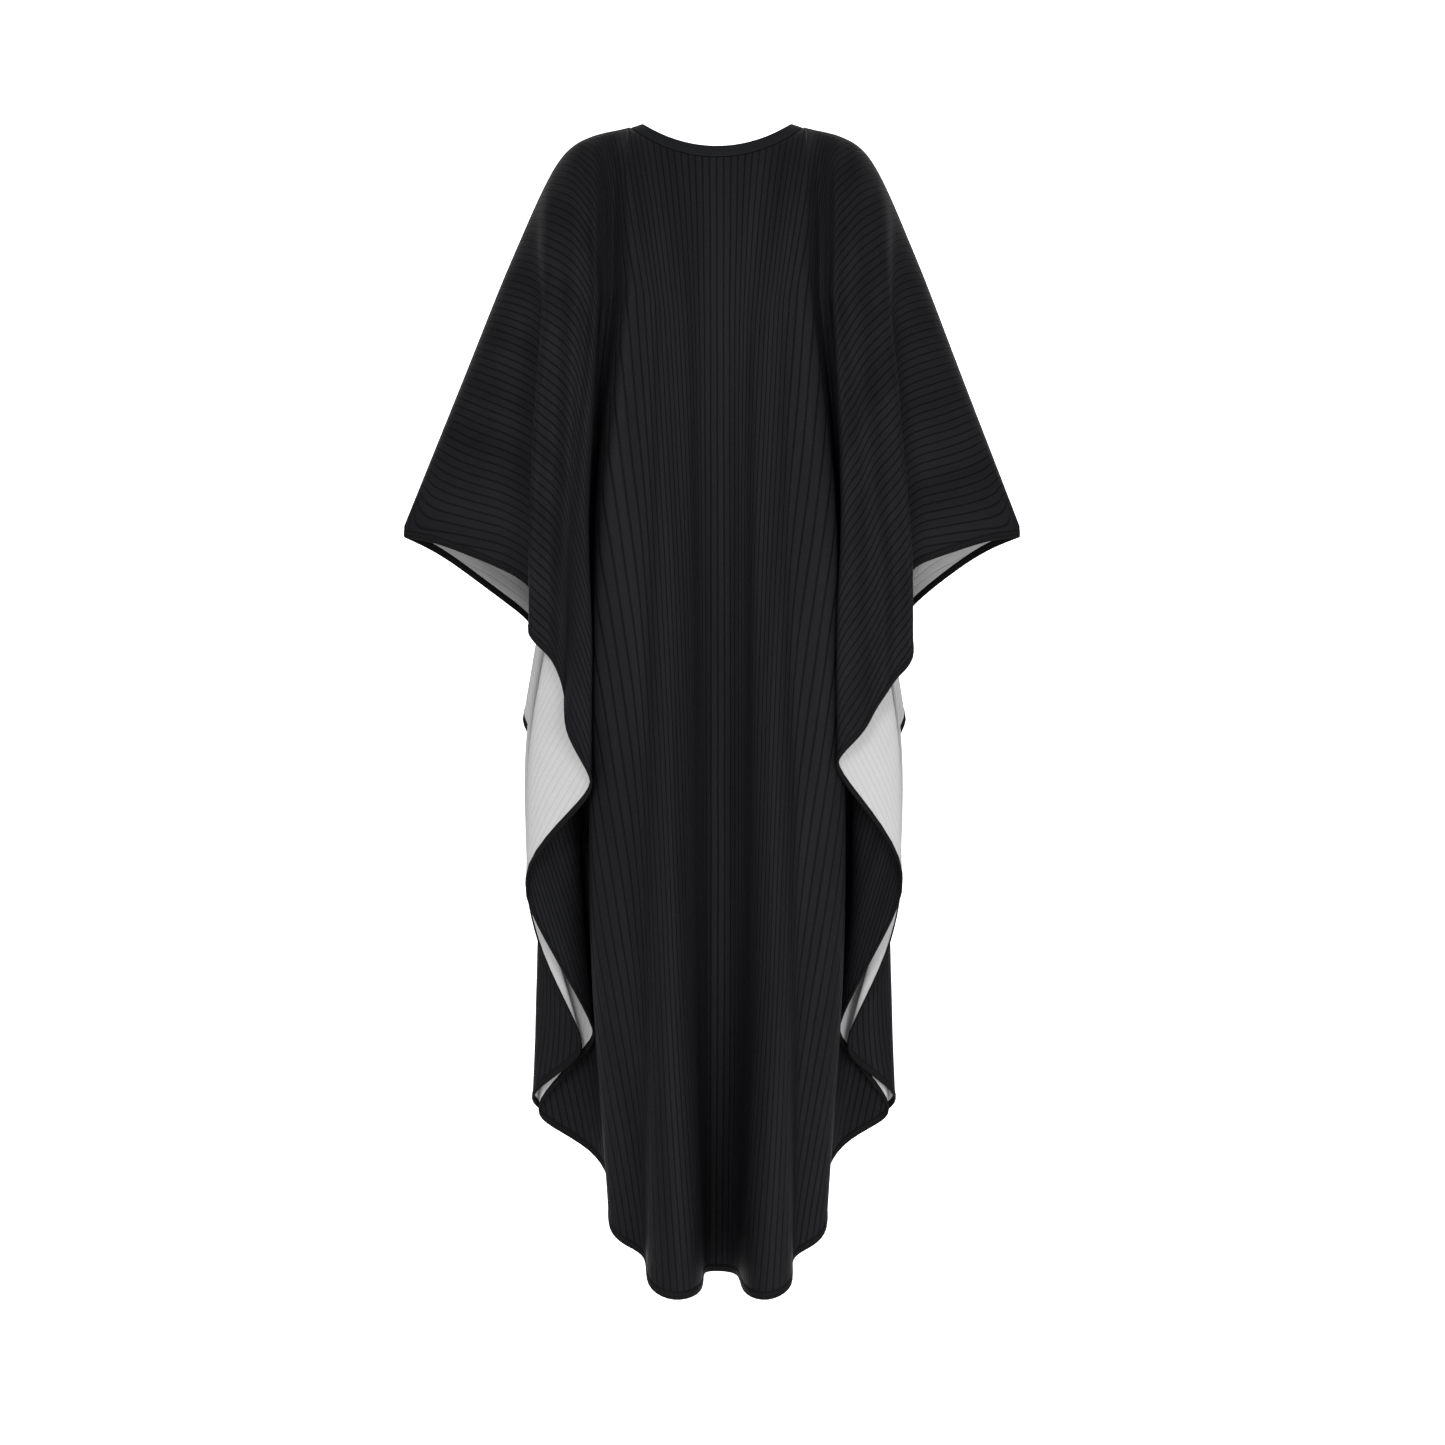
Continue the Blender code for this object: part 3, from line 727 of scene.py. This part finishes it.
# Creases, mm: the first and last fold row that each keeps to, x and z at its top, x and z at its low end,
# how far it bows out halfway, its width, its depth (negative: into the cloth) and how far its ends fade
BACK_CREASES = [
    (0, 2, 2, -300, 4, -1250, 0, 17, -2.6, 200),
    (0, 4, -35, -130, -24, -1330, 4, 6, 1.9, 100),
    (0, 5, -57, -150, -70, -1330, -4, 7, 1.7, 120),
    (2, 7, -89, -165, -138, -760, -8, 7, 3.0, 90),
    (0, 4, -14, -420, -10, -1240, -2, 5, 1.2, 150),
    (0, 4, -47, -300, -44, -900, 3, 4, -1.3, 120),
    (2, 6, -78, -320, -88, -1180, -4, 6, 1.5, 150),
    (2, 7, -104, -560, -112, -1220, -3, 6, 1.4, 120),
    (2, 7, -108, -120, -126, -430, 6, 7, -2.2, 60),
    (17, 20, -128, -215, -134, -690, 0, 7, 2.0, 90),
    (17, 22, -158, -150, -160, -560, -3, 7, 1.8, 80),
    (19, 23, -187, -170, -203, -560, 0, 8, 1.6, 80),
    (25, 29, -236, -230, -262, -470, -4, 20, 3.0, 90),
    (25, 29, -290, -340, -318, -470, 2, 16, 1.8, 60),
    (23, 27, -212, -180, -228, -480, -2, 9, -1.8, 90),
    (0, 3, 43, -190, 36, -1330, 2, 6, 1.8, 120),
    (2, 5, 68, -150, 80, -1330, 0, 7, 1.6, 120),
    (4, 7, 93, -145, 134, -600, 8, 8, 2.2, 80),
    (0, 3, 22, -160, 20, -980, 2, 5, 1.3, 140),
    (1, 4, 56, -260, 55, -1100, -2, 4, -1.4, 140),
    (3, 7, 88, -420, 98, -1240, 4, 6, 1.5, 150),
    (4, 7, 112, -640, 118, -1160, 2, 6, 1.4, 100),
    (17, 20, 128, -75, 140, -110, 0, 4, 1.5, 14),
    (17, 21, 150, -200, 152, -640, 4, 8, 1.6, 90),
    (21, 25, 186, -155, 201, -370, 2, 8, 2.0, 60),
    (25, 29, 232, -240, 250, -470, 4, 20, 2.6, 90),
    (23, 27, 210, -220, 222, -470, 2, 9, -1.8, 90),
    (26, 29, 276, -330, 300, -465, 2, 14, 1.6, 60),
]
FRONT_CREASES = [
    (0, 3, -22, -260, -30, -1300, 2, 7, 1.6, 120),
    (0, 3, -46, -210, -58, -1300, -3, 8, 1.8, 130),
    (3, 5, -92, -170, -128, -800, -8, 9, 2.2, 90),
    (19, 22, -180, -170, -200, -560, 0, 8, 1.8, 80),
    (24, 28, -240, -240, -268, -500, -4, 20, 2.8, 90),
    (0, 3, 40, -230, 52, -1300, 4, 8, 1.8, 130),
    (2, 5, 74, -170, 92, -1300, -3, 8, 1.8, 120),
    (3, 5, 95, -160, 130, -620, 8, 9, 2.2, 80),
    (19, 23, 176, -180, 196, -540, 0, 8, 1.8, 80),
    (24, 28, 236, -240, 256, -490, 4, 20, 2.6, 90),
]

PANELS = {
    "back": (BACK_FOLDS, BACK_CREASES),
    "front": (FRONT_FOLDS, FRONT_CREASES),
}

shells, hems, stitches = {}, {}, {}
neck_turns = {}
for panel, (folds, creases) in PANELS.items():
    surface, turn, on_arm = panel_surface(panel, folds, FINE_STEPS, FINE_ROUND_ROWS, FINE_HANG_ROWS)
    normals = surface_normals(surface, panel, turn, on_arm)
    field = crease_field(surface, folds, creases, FINE_STEPS)
    surface = surface + normals * field[:, :, None]
    normals = surface_normals(surface, panel, turn, on_arm)
    flat = flat_coordinates(panel, surface, folds, FINE_STEPS)
    shells[panel] = shell(f"{panel}_shell", panel, surface, normals, flat, [OUTER_CLOTH, INNER_CLOTH])
    edge = surface[-1]
    out = unit(normals[-1])
    into = unit(surface[-2] - edge)
    into = unit(into - out * (into * out).sum(axis=1)[:, None])
    rings = hem_rings(edge, into, out)
    hems[panel] = profile_strip(f"{panel}_edge", rings, False, HEM_CLOTH, turned=NECK[panel]["side"] < 0)
    stitches[panel] = stitch_mesh(f"{panel}_stitches", edge, out, into, THREAD)
    neck_turns[panel] = turn[~on_arm]

# Neckband: a flat facing with a rounded neck edge, and a dark strip of painted shade in the seam where it
# meets the panels
shoulder = math.pi / 2
ring_turns = {
    "back": np.append(neck_turns["back"], shoulder),
    "front": np.append(neck_turns["front"][::-1], -shoulder),
}
ring_normals = np.vstack([ring_normal(panel, turns) for panel, turns in ring_turns.items()])
for last in (len(ring_turns["back"]) - 1, -1):
    ring_normals[last, 1] = 0.0
    ring_normals[last] /= np.linalg.norm(ring_normals[last])
# Sections: share of the way from the neck edge to the seam, and height in walls
BAND_PROFILE = [
    (0.0, 0.0), (0.02, 0.45), (0.06, 0.55), (0.15, 0.5), (0.5, 0.5), (0.86, 0.5), (0.91, 0.42), (0.93, 0.0),
    (0.91, -0.42), (0.86, -0.5), (0.5, -0.5), (0.15, -0.5), (0.06, -0.55), (0.02, -0.45),
]
SEAM_SHADE_PROFILE = [(0.935, 0.12), (0.99, 0.12), (0.99, -0.12), (0.935, -0.12)]


def ring_strip(name, profile, material):
    loops = []
    for share, up in profile:
        at = np.vstack([ring_point(panel, turns, share) for panel, turns in ring_turns.items()])
        loops.append(at + ring_normals * up * WALL)
    return profile_strip(name, np.stack(loops, axis=1), True, material)


band = ring_strip("neckband_cloth", BAND_PROFILE, BAND_CLOTH)
# A near-black strip in the seam gap: painted shade
band_seam_shade = ring_strip("neckband_seam_shade", SEAM_SHADE_PROFILE, SEAM_SHADE)

for panel in PANELS:
    for piece in (shells[panel], hems[panel], stitches[panel]):
        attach(piece, "root")
    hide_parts(f"{panel}_panel")
    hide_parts(f"{panel}_hem")
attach(band, "root")
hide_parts("neckband")
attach(band_seam_shade, "root")

# Stage: a pale floor that bends up into a wall behind
FLOOR_Z = -1.62
STAGE_HALF = 6.0
BEND_START = 2.0
BEND_RADIUS = 1.2
BEND_STEPS = 13
STAGE_HEIGHT = 5.0
STAGE_GLOW = 0.75
GRAIN_SCALE = 40.0
GRAIN_SHADES = ((0.92, 0.92, 0.92, 1.0), (0.94, 0.94, 0.94, 1.0))
stage_material, tree, shader = new_material("stage")
shader.inputs["Roughness"].default_value = 0.9
shader.inputs["Emission Color"].default_value = (1.0, 1.0, 1.0, 1.0)
shader.inputs["Emission Strength"].default_value = STAGE_GLOW
coords = tree.nodes.new("ShaderNodeTexCoord")
grain = noise_at(tree, coords.outputs["Object"], GRAIN_SCALE, 2.0)
tree.links.new(mix_colours(tree, grain, *GRAIN_SHADES), shader.inputs["Base Color"])
profile = [(-STAGE_HALF, 0.0), (BEND_START, 0.0)]
for angle in np.linspace(0, math.pi / 2, BEND_STEPS)[1:]:
    profile.append((BEND_START + BEND_RADIUS * math.sin(angle), BEND_RADIUS - BEND_RADIUS * math.cos(angle)))
profile.append((BEND_START + BEND_RADIUS, STAGE_HEIGHT))
stage_points = [(x, y, FLOOR_Z + z) for y, z in profile for x in (-STAGE_HALF, STAGE_HALF)]
stage_faces = [(2 * i, 2 * i + 1, 2 * i + 3, 2 * i + 2) for i in range(len(profile) - 1)]
stage = add_piece("backdrop", stage_points, stage_faces, [stage_material])

# Light
WORLD_STRENGTH = 0.7
LIGHT_AIM = (0.0, 0.0, -0.5)
world = bpy.data.worlds.new("studio")
world.use_nodes = True
background = world.node_tree.nodes["Background"]
background.inputs["Color"].default_value = (1.0, 1.0, 1.0, 1.0)
background.inputs["Strength"].default_value = WORLD_STRENGTH
bpy.context.scene.world = world


def area_light(name, place, size, power):
    """A square light that faces the garment."""
    light = bpy.data.lights.new(name, "AREA")
    light.shape = "RECTANGLE"
    light.size = size
    light.size_y = size
    light.energy = power
    lamp = bpy.data.objects.new(name, light)
    lamp.location = place
    direction = np.array(LIGHT_AIM) - np.array(place)
    lamp.rotation_euler = (
        math.atan2(math.hypot(direction[0], direction[1]), -direction[2]),
        0.0,
        math.atan2(direction[1], direction[0]) - math.pi / 2,
    )
    bpy.context.collection.objects.link(lamp)


area_light("front_key", place=(-0.9, -3.0, 0.6), size=0.9, power=70.0)
area_light("front_fill", place=(1.6, -2.9, -1.0), size=1.2, power=60.0)

# Camera: level, straight at the back of the garment
CAMERA_PLACE = (0.0064, -2.32, -0.690)
LENS_MM = 50.0
SENSOR_MM = 36.0
camera_data = bpy.data.cameras.new("camera")
camera_data.lens = LENS_MM
camera_data.sensor_width = SENSOR_MM
camera_data.clip_end = 50.0
camera = bpy.data.objects.new("camera", camera_data)
camera.location = CAMERA_PLACE
camera.rotation_euler = (math.pi / 2, 0.0, 0.0)
bpy.context.collection.objects.link(camera)
bpy.context.scene.camera = camera
bpy.context.scene.view_settings.view_transform = "Standard"
